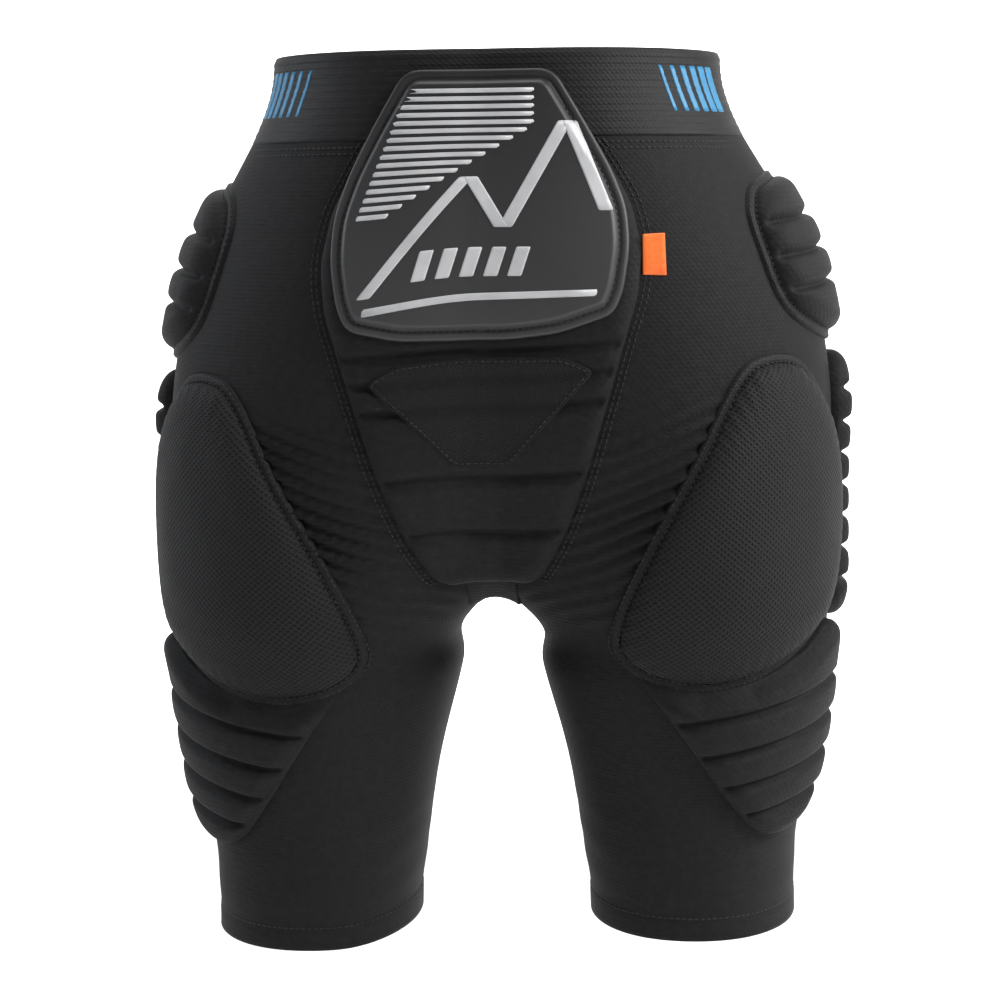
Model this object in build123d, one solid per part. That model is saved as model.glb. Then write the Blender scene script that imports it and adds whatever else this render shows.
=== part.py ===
"""Padded impact shorts for skiing and snowboarding, as a wearer fills them.

Millimetres. +Z is up, +Y is the wearer's forward, +X is the wearer's right.
The origin is the centre of the waist opening, level with its top edge.
"""
from build123d import *
import os
from functools import lru_cache
from math import copysign, cos, pi, radians, sin

# ---- driving dimensions -------------------------------------------------
FABRIC = 2.0            # knit shell with its lining
BAND_HEIGHT = 46.0      # elastic waistband
BAND_PROUD = 1.0        # how far the waistband stands outside the shell
SIDE_Y = -8.0           # side seams, halfway between front and back
LEG_END = -487.0        # lower edge of the legs
HEM_HEIGHT = 13.0       # folded hem
GUSSET_HALF = 13.0      # half width of the crotch gusset
PAD_LIFT = 1.3          # underside of the sewn-on pads, above the shell
PAD_TOP = 14.0          # outer face of the side and thigh pads
RIB_TOP = 7.0           # outer face of the V-shaped tailbone pad
PLATE_TOP = 11.5        # outer face of the moulded tailbone plate
EMBLEM_HEIGHT = 0.8     # raised mark on the plate
COVER = 1.8             # wall of a pad cover
FIT = 0.25              # space round a foam core inside its cover
PARTING_GAP = 0.4       # clearance between the hip and leg fabric
HINGE_Y, HINGE_Z = SIDE_Y, -240.0     # hip axis, across the body
OVERRUN = 6.0           # how far the body runs past each opening, before it is cut level

# one leg side of the body, section by section:
# (z, mid x, half width outward, half width inward, depth behind, depth in front, mid y, exponent)
SECTIONS = [
    (OVERRUN, 40.0, 86.0, 200.0, 95.0, 89.0, 0.0, 1.95),
    (-46.0, 42.0, 95.0, 200.0, 101.0, 93.0, -2.0, 1.95),
    (-80.0, 52.0, 106.0, 230.0, 105.0, 95.0, -4.0, 1.95),
    (-110.0, 58.0, 114.0, 250.0, 109.0, 98.0, -6.0, 1.95),
    (-150.0, 66.0, 116.0, 260.0, 111.0, 100.0, -8.0, 1.95),
    (-190.0, 76.0, 111.0, 230.0, 110.0, 99.0, -8.0, 1.95),
    (-230.0, 88.0, 98.0, 175.0, 106.0, 95.0, -8.0, 2.0),
    (-265.0, 97.0, 89.0, 135.0, 101.0, 92.0, -7.0, 2.05),
    (-290.0, 100.0, 86.0, 108.0, 97.5, 91.0, -7.0, 2.1),
    (-305.0, 101.0, 85.0, 90.0, 95.0, 90.0, -6.0, 2.15),
    (-335.0, 102.5, 80.0, 80.0, 91.0, 87.0, -5.0, 2.15),
    (-370.0, 104.0, 74.0, 74.0, 86.0, 83.0, -4.0, 2.15),
    (-430.0, 107.0, 63.0, 63.0, 77.0, 75.0, -3.0, 2.15),
    (LEG_END - OVERRUN, 108.6, 58.5, 58.5, 71.5, 70.0, -3.0, 2.15),
]
LEG_TOP = 10            # the section that the straight part of the leg hangs from
RING_POINTS = 20        # points round one section
PARTING_RADIUS = 118.0  # round the hip axis, where leg fabric meets hip fabric
FAR = 400.0
BINDING_TOP = 4.0       # outer face of the tape sewn round a pad
BINDING_WIDTH = 3.6
TAG_SIZE = (11.0, 1.2, 21.0)
TAG_AT = (84.6, -114.5, -107.0)       # middle of its sewn edge
TAG_TURN = 16.0

# outlines of the sewn-on parts, as (across, z) seen along the direction that they face
PRINT_TURN = 45.0       # direction that the waist prints face, from straight back
THIGH_TURN = 35.0       # direction that the thigh pads face
THIGH_PAD = [(94, -169), (67, -167), (52, -178), (34, -209), (20, -240), (9, -272), (4, -296), (6, -318),
             (18, -332), (40, -337), (66, -333), (93, -321), (122, -301), (136, -268), (136, -230), (121, -195)]
LOWER_PAD = [(17, -343), (30, -363), (46, -386), (61, -407), (76, -423), (91, -428), (114, -420), (131, -397),
             (138, -380), (135, -366), (122, -356), (95, -345), (66, -346), (40, -349)]
SIDE_TURN = 90.0        # the hip and side pads face straight out
HIP_PAD = [(-45, -74), (-64, -86), (-70, -106), (-69, -130), (-56, -143), (-25, -152), (12, -153),
           (42, -141), (54, -114), (44, -86), (6, -70)]
SIDE_PAD = [(2, -165), (-17, -176), (-19, -200), (-14, -245), (-16, -288), (-12, -306), (10, -318),
            (34, -308), (44, -288), (44, -202), (32, -176)]
V_PANEL = [(58, -46.5), (68, -62), (78, -80), (84, -104), (82, -128), (75, -152), (66, -184), (56, -218),
           (44, -252), (31, -277), (24, -283)]
COVER_HALF = [(39, -14), (56, -44), (66, -62), (76, -80), (82, -104), (80, -128), (73, -152), (64, -184),
              (54, -218), (42, -252), (30, -275), (24, -280)]
PLATE_HALF = [(38, -12), (54, -40), (67, -64), (75, -84), (77, -104), (74, -126), (69, -138), (42, -147),
              (16, -150)]
FOAM_HALF = [(32, -22), (50, -46), (66, -72), (74, -104), (68, -140), (58, -180), (46, -220), (32, -256),
             (16, -270)]


# ---- the body that the shorts fit ---------------------------------------
def ring(z, mid_x, outward, inward, back, front, mid_y, exponent):
    """One closed section made of four superellipse quarters."""
    points = []
    for i in range(RING_POINTS):
        turn = 2 * pi * i / RING_POINTS
        c, s = cos(turn), sin(turn)
        width = outward if c > 0 else inward
        depth = front if s > 0 else back
        x = mid_x + width * copysign(abs(c) ** (2 / exponent), c)
        y = mid_y + depth * copysign(abs(s) ** (2 / exponent), s)
        points.append((x, y, z))
    return Wire([Edge.make_spline([Vector(*p) for p in points], periodic=True)])


@lru_cache(maxsize=None)
def body(grow):
    """The right half of the hips with the right leg, grown outward.

    Its hip sections run past the middle plane, where the two halves meet.
    """
    rings = []
    for z, mid_x, outward, inward, back, front, mid_y, exponent in SECTIONS:
        rings.append(ring(z, mid_x, outward + grow, inward + grow, back + grow, front + grow, mid_y, exponent))
    hips, leg = rings[:LEG_TOP + 1], rings[LEG_TOP:]
    return Solid.make_loft(hips) + Solid.make_loft(leg)


def layer(inner, outer):
    """Shell between two growths of the body."""
    return body(outer) - body(inner)


def block(x0, x1, y0, y1, z0, z1):
    box = Box(x1 - x0, y1 - y0, z1 - z0)
    return Pos((x0 + x1) / 2, (y0 + y1) / 2, (z0 + z1) / 2) * box


def mirrored(shape):
    return mirror(shape, about=Plane.YZ)


def main_solid(shape):
    """The largest solid of a cut, without its slivers."""
    return max(shape.solids(), key=lambda solid: solid.volume)


def leg_zone(gap):
    """Everything below the round parting, which turns with the right leg."""
    drum = Pos(0, HINGE_Y, HINGE_Z) * Rot(0, 90, 0) * Cylinder(PARTING_RADIUS + gap, 2 * FAR)
    return block(-1, FAR, -FAR, FAR, LEG_END - 50, HINGE_Z) - drum


# ---- outlines ------------------------------------------------------------
def facing(turn):
    """Upright plane that faces `turn` degrees round from straight back towards +X."""
    a = radians(turn)
    return Plane(origin=(0, 0, 0), x_dir=(cos(a), sin(a), 0), z_dir=(sin(a), -cos(a), 0))


def closed_spline(points, turn=0.0):
    """Prism through points (across, z), smooth all round."""
    face = make_face(Spline(*points, periodic=True))
    return extrude(facing(turn) * face, FAR)


def closed_polygon(points, turn=0.0, radius=0.0):
    """Prism through points (across, z) with straight sides."""
    face = make_face(Polyline(*points, close=True))
    if radius:
        face = fillet(face.vertices(), radius)
    return extrude(facing(turn) * face, FAR)


def shrunk(points, margin):
    """The same outline drawn in towards its middle by about `margin`."""
    mid_x = sum(p[0] for p in points) / len(points)
    mid_z = sum(p[1] for p in points) / len(points)
    result = []
    for x, z in points:
        reach = ((x - mid_x) ** 2 + (z - mid_z) ** 2) ** 0.5
        share = (reach - margin) / reach
        result.append((mid_x + (x - mid_x) * share, mid_z + (z - mid_z) * share))
    return result


def both_sides(half):
    """Closed outline from its right half, listed from top to bottom."""
    return half + [(-x, z) for x, z in reversed(half)]


# ---- sub-parts -------------------------------------------------------------
def waistband():
    half = layer(-FABRIC, BAND_PROUD) & block(0, FAR, -FAR, FAR, -BAND_HEIGHT, 0)
    return main_solid(half + mirrored(half))


def waist_print():
    """Thin transfer print on the band, behind the right hip."""
    outline = [(20, -6), (56, -10), (62, -34), (26, -38)]
    return main_solid(layer(BAND_PROUD + 0.05, BAND_PROUD + 0.4) & closed_polygon(outline, PRINT_TURN, 4))


def shell_panels():
    """Sewn fabric panels of the right half of the hips and of the right leg."""
    below_band = block(0, FAR, -FAR, FAR, LEG_END + HEM_HEIGHT, -BAND_HEIGHT - 0.05)
    behind = block(-FAR, FAR, -FAR, SIDE_Y, -2 * FAR, FAR)
    v_prism = closed_polygon(both_sides(V_PANEL)) & block(-FAR, FAR, -FAR, -20, -FAR, FAR)
    gusset_box = block(-1, GUSSET_HALF, -70, 66, LEG_END, -262)
    shell = layer(-FABRIC, 0.0) & below_band
    hips = shell - leg_zone(0.0)
    leg_fabric = shell & leg_zone(PARTING_GAP)
    outer = hips - v_prism - gusset_box
    return {
        "tail": main_solid(hips & v_prism),
        "gusset": main_solid((hips - v_prism) & gusset_box),
        "seat_panel": main_solid(outer & behind),
        "front_panel": main_solid(outer - behind),
        "leg_back_panel": main_solid(leg_fabric & behind),
        "leg_front_panel": main_solid(leg_fabric - behind),
    }


def pad(outline, turn):
    """Cover and foam core of one sewn-on pad of the right side."""
    cavity = body(PAD_TOP - COVER) & closed_spline(shrunk(outline, 2 * COVER), turn)
    core = body(PAD_TOP - COVER - FIT) & closed_spline(shrunk(outline, 2 * COVER + FIT), turn)
    cover = (body(PAD_TOP) & closed_spline(outline, turn)) - cavity - body(PAD_LIFT)
    return main_solid(cover), main_solid(core - body(PAD_LIFT + FIT))


def binding(outline, turn):
    """Flat tape sewn round a pad."""
    around = closed_spline(shrunk(outline, -BINDING_WIDTH), turn) - closed_spline(shrunk(outline, -0.4), turn)
    return main_solid((body(BINDING_TOP) & around) - body(PAD_LIFT))


def tailbone_parts():
    """V-shaped padded cover, its foam, the moulded plate, its emblem and the patch."""
    behind = block(0, FAR, -FAR, -20, -FAR, FAR)

    def slab(inner, outer, prism):
        half = layer(inner, outer) & prism & behind
        return half + mirrored(half)

    cover_prism = closed_polygon(both_sides(COVER_HALF))
    foam_prism = closed_polygon(both_sides(FOAM_HALF))
    wider_foam = closed_polygon(both_sides([(x + FIT, z) for x, z in FOAM_HALF]))
    plate_prism = closed_polygon(both_sides(PLATE_HALF), radius=3)
    patch_half = [(30, -158), (54, -170), (34, -196), (14, -224)]
    patch_prism = closed_polygon(both_sides(patch_half), radius=2)
    cover = slab(PAD_LIFT, RIB_TOP, cover_prism) - slab(PAD_LIFT + 1, RIB_TOP - 1.2, wider_foam)
    return {
        "tailbone_cover": main_solid(cover),
        "tailbone_foam": main_solid(slab(PAD_LIFT + 1 + FIT, RIB_TOP - 1.2 - FIT, foam_prism)),
        "tailbone_plate": main_solid(slab(RIB_TOP + 0.05, PLATE_TOP, plate_prism)),
        "mesh_patch": main_solid(slab(RIB_TOP + 0.05, RIB_TOP + 0.8, patch_prism)),
        "plate_emblem": emblem(),
    }


def emblem():
    """Raised speed stripes with slanted ends, above two mountain chevrons."""
    stripe_pitch, stripe_height, stripes = 9.0, 4.6, 7
    bars = []
    for i in range(stripes):
        top = -26 - i * stripe_pitch
        left = -36 - 3.2 * i
        right = 34 - 7.5 * i
        bars.append(closed_polygon([(left, top), (right, top), (right - 3, top - stripe_height),
                                    (left - 1.6, top - stripe_height)]))
    for drop in (0, 16):
        peak = -62 - drop
        bars.append(closed_polygon([(2, peak - 46), (34, peak), (66 - drop * 0.4, peak - 46 + drop * 0.5),
                                    (57 - drop * 0.4, peak - 46 + drop * 0.5), (34, peak - 13), (11, peak - 46)]))
    prism = bars[0]
    for bar in bars[1:]:
        prism = prism + bar
    half = layer(PLATE_TOP + 0.02, PLATE_TOP + EMBLEM_HEIGHT) & block(0, FAR, -FAR, -20, -FAR, FAR)
    return Compound(((half & prism) + (mirrored(half) & prism)).solids())


def side_tag():
    """Folded woven tab, sewn into the right edge of the V-shaped pad."""
    tab = Box(*TAG_SIZE, align=(Align.MIN, Align.CENTER, Align.CENTER))
    return Pos(*TAG_AT) * Rot(0, 0, TAG_TURN) * tab


def leg_hem():
    band = block(0, FAR, -FAR, FAR, LEG_END, LEG_END + HEM_HEIGHT - 0.05)
    return main_solid(layer(-FABRIC, 0.8) & band)


def hem_gripper():
    """Silicone band inside the hem."""
    band = block(0, FAR, -FAR, FAR, LEG_END + 2, LEG_END + HEM_HEIGHT - 3)
    return main_solid(layer(-FABRIC - 0.8, -FABRIC - 0.1) & band)


def build():
    nodes = {"waistband": waistband(), "side_tag": side_tag()}
    nodes.update(tailbone_parts())
    right = shell_panels()
    for node, half in (("tailbone_panel", right.pop("tail")), ("crotch_gusset", right.pop("gusset"))):
        nodes[node] = half + mirrored(half)
    right["leg_hem"] = leg_hem()
    right["hem_gripper"] = hem_gripper()
    right["waist_print"] = waist_print()
    pads = {"thigh_pad": (THIGH_PAD, THIGH_TURN), "lower_thigh_pad": (LOWER_PAD, THIGH_TURN),
            "side_pad": (SIDE_PAD, SIDE_TURN), "hip_pad": (HIP_PAD, SIDE_TURN)}
    for name, (outline, turn) in pads.items():
        right[name + "_cover"], right[name + "_foam"] = pad(outline, turn)
    right["thigh_pad_binding"] = binding(THIGH_PAD, THIGH_TURN)
    right["hip_pad_binding"] = binding(HIP_PAD, SIDE_TURN)
    for name, solid in right.items():
        nodes[name + "_right"] = solid
        nodes[name + "_left"] = mirrored(solid)
    return nodes


os.makedirs("parts", exist_ok=True)
for node, solid in build().items():
    solid.label = node
    export_step(solid, f"parts/{node}.step")
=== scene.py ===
"""Looks of the padded impact shorts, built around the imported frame. Metres, +Z up, +Y forward."""
import math

import bpy
import numpy as np
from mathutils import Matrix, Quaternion, Vector
from mathutils.bvhtree import BVHTree


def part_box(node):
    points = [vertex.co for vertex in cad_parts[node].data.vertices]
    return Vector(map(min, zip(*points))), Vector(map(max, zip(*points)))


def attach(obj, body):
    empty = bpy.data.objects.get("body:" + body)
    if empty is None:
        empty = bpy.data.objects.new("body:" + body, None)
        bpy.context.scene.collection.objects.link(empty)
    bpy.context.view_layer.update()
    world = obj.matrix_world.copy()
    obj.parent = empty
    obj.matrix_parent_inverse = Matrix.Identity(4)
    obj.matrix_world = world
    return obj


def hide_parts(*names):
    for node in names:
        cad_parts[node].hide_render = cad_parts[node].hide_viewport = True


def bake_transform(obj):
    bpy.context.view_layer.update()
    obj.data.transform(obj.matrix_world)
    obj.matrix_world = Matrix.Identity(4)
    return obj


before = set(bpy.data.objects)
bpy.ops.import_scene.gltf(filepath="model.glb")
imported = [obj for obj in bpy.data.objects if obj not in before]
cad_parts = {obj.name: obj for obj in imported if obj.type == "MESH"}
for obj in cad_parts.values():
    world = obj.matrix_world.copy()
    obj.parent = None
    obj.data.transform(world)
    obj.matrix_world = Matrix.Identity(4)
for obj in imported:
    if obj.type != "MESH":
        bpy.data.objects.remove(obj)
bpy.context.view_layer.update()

MM = 0.001
SIDES = {"right": 1, "left": -1}
FABRIC = 2 * MM
CELL = 2.6 * MM             # grid size of the fabric skin
BACK_FACING = 35.0          # degrees that the thigh pads face, from straight back
HEM_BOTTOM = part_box("leg_hem_right")[0].z
HEM_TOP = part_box("leg_hem_right")[1].z
BAND_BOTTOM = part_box("waistband")[0].z
CROTCH = -0.2985
DROP = 9 * MM               # how much lower the left side hangs
SPINE = 26 * MM             # half width over which the middle of the seat is rounded
rng = np.random.default_rng(7)


# ---- measuring the frame -------------------------------------------------
def tree_of(names):
    """Search tree over the CAD solids of these nodes."""
    verts, faces = [], []
    for name in names:
        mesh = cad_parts[name].data
        base = len(verts)
        verts += [v.co.copy() for v in mesh.vertices]
        faces += [[base + i for i in p.vertices] for p in mesh.polygons]
    return BVHTree.FromPolygons(verts, faces)


def mid_x(z):
    """Middle of the right half of the body at height z."""
    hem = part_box("leg_hem_right")
    hem_x = (hem[0].x + hem[1].x) / 2
    return np.interp(z, [HEM_BOTTOM, -0.30, -0.15, 0.0], [hem_x, 0.101, 0.066, 0.040])


MID_Y = -0.006
ROWS = np.arange(0.0, HEM_BOTTOM - 1e-6, -4 * MM)[:-1]
ROWS = np.append(ROWS, HEM_BOTTOM + 0.5 * MM)
TURNS = np.radians(np.arange(0, 360, 3.0))


def smooth_rows(grid, passes):
    """Binomial smoothing of a grid that closes round its second axis."""
    for _ in range(passes):
        grid = (np.roll(grid, 1, 1) + 2 * grid + np.roll(grid, -1, 1)) / 4
        up = np.vstack([grid[:1], grid[:-1]])
        down = np.vstack([grid[1:], grid[-1:]])
        grid = (up + 2 * grid + down) / 4
    return grid


def measure():
    """Distance from the middle of each half section to the inside of the fabric, and the
    angles at which the half meets the middle plane."""
    names = ["waistband", "tailbone_panel", "crotch_gusset"]
    names += [f"{n}_{side}" for side in SIDES
              for n in ("seat_panel", "front_panel", "leg_back_panel", "leg_front_panel", "leg_hem")]
    tree = tree_of(names)
    reach = np.full((len(ROWS), len(TURNS)), np.nan)
    for i, z in enumerate(ROWS):
        level = min(z, -1 * MM)
        for j, turn in enumerate(TURNS):
            start = Vector((mid_x(z), MID_Y, level))
            hit = tree.ray_cast(start, Vector((math.cos(turn), math.sin(turn), 0)))
            if hit[0] is not None:
                reach[i, j] = hit[3]
    for i in range(len(ROWS)):
        row = reach[i]
        limit = np.where(np.cos(TURNS) < -1e-3, mid_x(ROWS[i]) / np.maximum(-np.cos(TURNS), 1e-3), 9.0)
        good = ~np.isnan(row)
        row = np.interp(TURNS, TURNS[good], row[good], period=2 * math.pi)
        reach[i] = np.minimum(row, 1.35 * limit)
    return smooth_rows(reach, 2)


REACH = measure()


def cubic(values, t):
    """Catmull-Rom weights on four rows of values, t from 0 to 1 between the middle two."""
    a, b, c, d = values
    return b + 0.5 * t * (c - a + t * (2 * a - 5 * b + 4 * c - d + t * (3 * (b - c) + d - a)))


def reach_at(z, turn):
    """Smooth distance at any height and angle (arrays)."""
    row = np.clip(-z / (4 * MM), 0, len(ROWS) - 1.001)
    col = (turn / math.radians(3.0)) % len(TURNS)
    i, j = np.floor(row).astype(int), np.floor(col).astype(int)
    fr, fc = row - i, col - j
    lines = []
    for di in (-1, 0, 1, 2):
        ii = np.clip(i + di, 0, len(ROWS) - 1)
        lines.append(cubic([REACH[ii, (j + dj) % len(TURNS)] for dj in (-1, 0, 1, 2)], fc))
    return cubic(lines, fr)


def seam_table():
    """Angles from straight inward at which each section meets the middle plane, front and back."""
    steps = np.radians(np.arange(90, 180, 0.25))
    table = {}
    for front in (True, False):
        angles = []
        for z in ROWS:
            r = reach_at(np.full_like(steps, z), (steps if front else -steps) % (2 * math.pi))
            met = np.nonzero(mid_x(z) + r * np.cos(steps) <= 0.4 * MM)[0]
            angles.append(math.pi - steps[met[0]] if len(met) and z > CROTCH else 0.0)
        table[front] = np.array(angles)
    return table


SEAM_TABLE = seam_table()


def seam_angle(z, front):
    if z <= CROTCH:
        return 0.0
    return float(np.interp(-z, -ROWS, SEAM_TABLE[front]))


def smoothstep(x):
    x = np.clip(x, 0, 1)
    return x * x * (3 - 2 * x)


def noise3(p, seed):
    """Cheap smooth noise from -1 to 1: a few sines in fixed random directions."""
    local = np.random.default_rng(seed)
    total = np.zeros(p.shape[:-1])
    for _ in range(7):
        direction = local.normal(size=3)
        direction /= np.linalg.norm(direction)
        total += np.sin(p @ direction * local.uniform(0.7, 1.6) + local.uniform(0, 6.28))
    return total / 3.2


# ---- mesh helpers --------------------------------------------------------
def settled(verts):
    """The shorts are worn a little twisted, so the left side hangs lower than the right."""
    p = np.array(verts, float)
    p[:, 2] -= DROP * smoothstep(-p[:, 0] / 0.09) * smoothstep((-p[:, 2] - 0.02) / 0.11)
    return p


def new_piece(name, verts, faces, material, smooth=True, worn=True):
    mesh = bpy.data.meshes.new(name)
    mesh.from_pydata([tuple(v) for v in (settled(verts) if worn else verts)], [], faces)
    mesh.validate()
    mesh.update()
    if smooth:
        mesh.polygons.foreach_set("use_smooth", [True] * len(mesh.polygons))
    obj = bpy.data.objects.new(name, mesh)
    bpy.context.scene.collection.objects.link(obj)
    obj.data.materials.append(material)
    return obj


def grid_faces(rows, cols, closed=False, flip=False, base=0):
    faces = []
    last = cols if closed else cols - 1
    for i in range(rows - 1):
        for j in range(last):
            a, b = base + i * cols + j, base + i * cols + (j + 1) % cols
            quad = (a, b, b + cols, a + cols)
            faces.append(quad[::-1] if flip else quad)
    return faces


def solidify(obj, thickness, offset=-1.0):
    mod = obj.modifiers.new("thickness", "SOLIDIFY")
    mod.thickness = thickness
    mod.offset = offset
    mod.use_even_offset = True
    return mod


def subdivide(obj, levels=1):
    mod = obj.modifiers.new("subdivision", "SUBSURF")
    mod.levels = mod.render_levels = levels
    return obj


def closed_curve(points, count):
    """Evenly spaced points along a smooth closed curve through the given points."""
    p = np.array(points, float)
    n = len(p)
    t = np.linspace(0, n, n * 40, endpoint=False)
    i = np.floor(t).astype(int)
    f = (t - i)[:, None]
    dense = cubic([p[(i + k) % n] for k in (-1, 0, 1, 2)], f)
    return even(dense, count, True)


def even(dense, count, closed):
    loop = np.vstack([dense, dense[:1]]) if closed else dense
    length = np.concatenate([[0], np.cumsum(np.linalg.norm(np.diff(loop, axis=0), axis=1))])
    want = np.linspace(0, length[-1], count, endpoint=not closed)
    return np.stack([np.interp(want, length, loop[:, k]) for k in range(loop.shape[1])], 1)


def rounded_polygon(points, radius, count):
    """Closed outline with straight sides and round corners."""
    p = np.array(points, float)
    dense = []
    for i in range(len(p)):
        a, b, c = p[i - 1], p[i], p[(i + 1) % len(p)]
        u, v = (a - b) / np.linalg.norm(a - b), (c - b) / np.linalg.norm(c - b)
        cut = min(radius, 0.45 * np.linalg.norm(a - b), 0.45 * np.linalg.norm(c - b))
        for t in np.linspace(0, 1, 7):
            dense.append((1 - t) ** 2 * (b + u * cut) + 2 * t * (1 - t) * b + t ** 2 * (b + v * cut))
    return even(np.array(dense), count, True)


def clockwise(curve):
    return np.sum(curve[:, 0] * np.roll(curve[:, 1], -1) - np.roll(curve[:, 0], -1) * curve[:, 1]) < 0


def outward(curve):
    """Unit normals that point out of a closed 2-D outline."""
    tangent = np.roll(curve, -1, 0) - np.roll(curve, 1, 0)
    tangent /= np.linalg.norm(tangent, axis=1)[:, None]
    normal = np.stack([tangent[:, 1], -tangent[:, 0]], 1)
    return -normal if clockwise(curve) else normal


def face_dirs(turn):
    """Across and outward directions of a view that faces `turn` degrees from straight back."""
    a = math.radians(turn)
    return np.array([math.cos(a), math.sin(a), 0.0]), np.array([math.sin(a), -math.cos(a), 0.0])


class Surface:
    """A smooth mesh that pieces are laid on: casts rays and gives smooth normals."""

    def __init__(self, verts, faces, normals):
        self.tree = BVHTree.FromPolygons([tuple(v) for v in verts], faces)
        self.verts, self.faces, self.normals = np.array(verts), faces, np.array(normals)

    def lay(self, across, heights, turn, side=1):
        """Points of the surface seen along a facing direction, with their normals."""
        u_dir, out = face_dirs(turn)
        places, corners = [], []
        for u, z in zip(np.ravel(across), np.ravel(heights)):
            start = u_dir * u + out * 0.5 + np.array([0, 0, z])
            hit = self.tree.ray_cast(Vector(start), Vector(-out))
            if hit[0] is None or np.dot(np.array(hit[0]), out) < -0.02:
                hit = self.tree.find_nearest(Vector(u_dir * u + out * 0.08 + np.array([0, 0, z])))
            places.append(hit[0][:])
            face = self.faces[hit[2]]
            corners.append((*face, face[-1])[:4])
        places, corners = np.array(places), np.array(corners)
        weights = 1 / (np.linalg.norm(self.verts[corners] - places[:, None], axis=2) + 1e-5)
        normals = (self.normals[corners] * weights[..., None]).sum(1)
        normals /= np.linalg.norm(normals, axis=1)[:, None]
        flip = np.array([side, 1, 1])
        return places * flip, normals * flip


def half_skin():
    """Right half of the outer fabric face as a grid: rows down, columns from front to back seam."""
    rows = np.arange(-1 * MM, HEM_BOTTOM, -CELL)
    rows = np.append(rows, HEM_BOTTOM)
    cols = 236
    fronts = np.array([seam_angle(z, True) for z in rows])
    backs = np.array([seam_angle(z, False) for z in rows])
    for angles in (fronts, backs):
        angles[:] = np.convolve(np.pad(angles, 2, "edge"), np.ones(5) / 5, "valid")
    share = np.linspace(0, 1, cols)
    turn = (math.pi - fronts)[:, None] * (1 - share) - (math.pi - backs)[:, None] * share
    z = np.repeat(rows[:, None], cols, 1)
    r = reach_at(z, turn % (2 * math.pi))
    p = np.stack([mid_x(z) + r * np.cos(turn), MID_Y + r * np.sin(turn), z], -1)
    closed = rows < CROTCH
    for i in np.nonzero(~closed)[0]:
        for end, near in ((0, 3), (-1, -4)):
            slope = (p[i, near, 1] - p[i, end, 1]) / max(p[i, near, 0] - p[i, end, 0], 1e-6)
            if abs(slope) < 1.0:
                reach = np.clip(SPINE - p[i, :, 0], 0, None) ** 2 / (2 * SPINE)
                half = p[i, :, 1] > 0 if end == 0 else p[i, :, 1] < 0
                p[i, :, 1] += slope * reach * half
    across, down = np.gradient(p, axis=1), np.gradient(p, axis=0)
    across[closed, 0] = across[closed, -1] = ((p[:, 1] - p[:, -2]) / 2)[closed]
    n = np.cross(across, down)
    n /= np.linalg.norm(n, axis=-1)[..., None]
    outer = p + n * FABRIC
    open_rows = ~closed
    for end in (0, -1):
        outer[open_rows, end, 0] = 0.0
    ends = (outer[:, 0] + outer[:, -1]) / 2
    outer[closed, 0] = outer[closed, -1] = ends[closed]
    outer[..., 0] = np.maximum(outer[..., 0], 0.0)
    return rows, outer, n


SKIN_ROWS, SKIN, SKIN_N = half_skin()
SKIN_FACES = grid_faces(SKIN.shape[0], SKIN.shape[1])


def both_halves():
    """Surface over both halves of the fabric, before its folds."""
    v, n = SKIN.reshape(-1, 3), SKIN_N.reshape(-1, 3)
    flip = np.array([-1, 1, 1])
    base = len(v)
    faces = SKIN_FACES + [tuple(base + i for i in f[::-1]) for f in SKIN_FACES]
    return Surface(np.vstack([v, v * flip]), faces, np.vstack([n, n * flip]))


BODY = both_halves()


# ---- materials -----------------------------------------------------------
def node(tree, kind, **inputs):
    made = tree.nodes.new(kind)
    for key, value in inputs.items():
        made.inputs[key.replace("_", " ")].default_value = value
    return made


def base_material(name, color, roughness, sheen=0.0, coat=0.0, specular=0.5):
    mat = bpy.data.materials.new(name)
    mat.use_nodes = True
    tree = mat.node_tree
    shader = tree.nodes["Principled BSDF"]
    shader.inputs["Base Color"].default_value = (*color, 1)
    shader.inputs["Roughness"].default_value = roughness
    shader.inputs["Sheen Weight"].default_value = sheen
    shader.inputs["Sheen Roughness"].default_value = 0.45
    shader.inputs["Coat Weight"].default_value = coat
    shader.inputs["Specular IOR Level"].default_value = specular
    coords = tree.nodes.new("ShaderNodeTexCoord")
    return mat, tree, shader, coords.outputs["Object"]


def varied_color(tree, shader, coords, dark, light, scale, detail=4.0):
    noise = node(tree, "ShaderNodeTexNoise", Scale=scale, Detail=detail, Roughness=0.6)
    tree.links.new(coords, noise.inputs["Vector"])
    ramp = tree.nodes.new("ShaderNodeValToRGB")
    ramp.color_ramp.elements[0].position = 0.32
    ramp.color_ramp.elements[1].position = 0.70
    ramp.color_ramp.elements[0].color = (*dark, 1)
    ramp.color_ramp.elements[1].color = (*light, 1)
    tree.links.new(noise.outputs["Fac"], ramp.inputs["Fac"])
    tree.links.new(ramp.outputs["Color"], shader.inputs["Base Color"])
    return ramp


def add_bump(tree, shader, height, distance, strength=1.0, previous=None):
    bump = node(tree, "ShaderNodeBump", Strength=strength, Distance=distance)
    tree.links.new(height, bump.inputs["Height"])
    if previous is not None:
        tree.links.new(previous.outputs["Normal"], bump.inputs["Normal"])
    tree.links.new(bump.outputs["Normal"], shader.inputs["Normal"])
    return bump


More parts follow.
